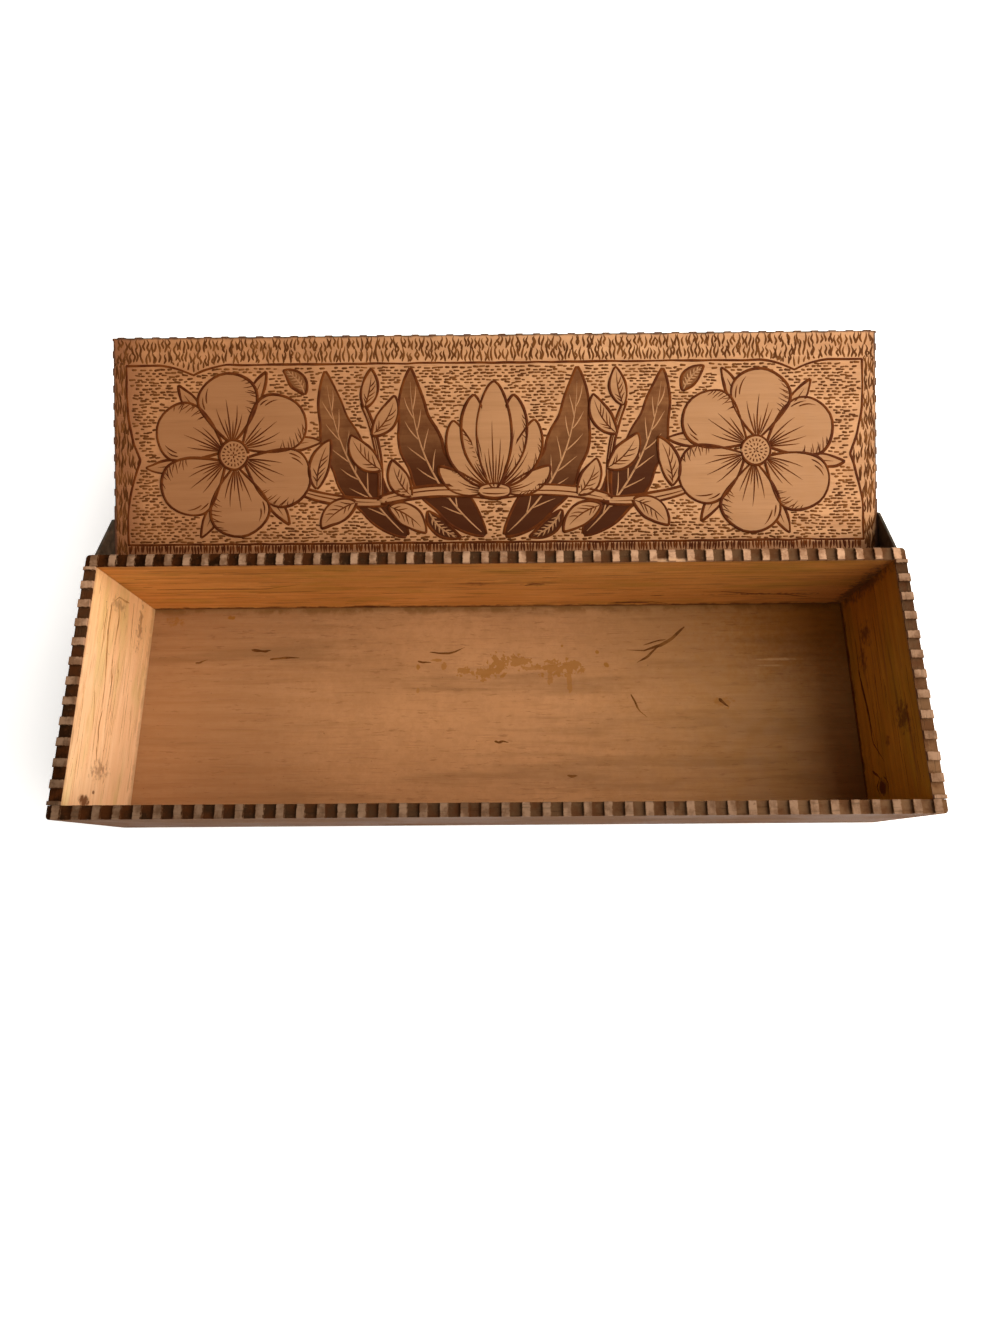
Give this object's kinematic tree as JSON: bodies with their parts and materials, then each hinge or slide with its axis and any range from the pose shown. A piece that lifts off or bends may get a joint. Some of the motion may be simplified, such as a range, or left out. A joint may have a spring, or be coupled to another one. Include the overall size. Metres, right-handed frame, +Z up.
{
  "type": "tie box",
  "caption": "Long low wooden box for neckties with notched rims and a burned-pattern lid that swings back on pivot ears at its ends.",
  "frame": {"origin": "centre of the flat underside of the bottom board", "axes": "+X along the box to the right, +Y to the back where the lid is hinged, +Z up; the lid is drawn thrown back"},
  "size_m": [0.3352, 0.1998, 0.0818],
  "materials": {
    "box_wood": "aged basswood, oiled, worn edges, burned notches",
    "end_wood": "aged basswood, grain from front to back",
    "bottom_wood": "aged basswood, brown, stained and scratched",
    "lid_wood": "tan basswood with a burned line pattern",
    "ear_metal": "dark tarnished sheet metal",
    "nail_steel": "dark oxidised wire nail",
    "brad_steel": "dull oxidised brad"
  },
  "bodies": {
    "box": {"front_board": "box_wood", "rear_board": "box_wood", "left_end_board": "end_wood", "right_end_board": "end_wood", "bottom_board": "bottom_wood", "front_corner_brads": "brad_steel", "rear_corner_brads": "brad_steel", "bottom_brads": "brad_steel", "left_pivot_nail": "nail_steel", "right_pivot_nail": "nail_steel"},
    "lid": {"lid_board": "lid_wood", "left_pivot_ear": "ear_metal", "right_pivot_ear": "ear_metal", "left_ear_brads": "brad_steel", "right_ear_brads": "brad_steel"}
  },
  "joints": [
    {"name": "lid_pivot", "type": "hinge", "parent": "box", "child": "lid", "pos_m": [0, 0.04825, 0.06], "axis": [1, 0, 0], "range_deg": [0, 158.28]}
  ]
}
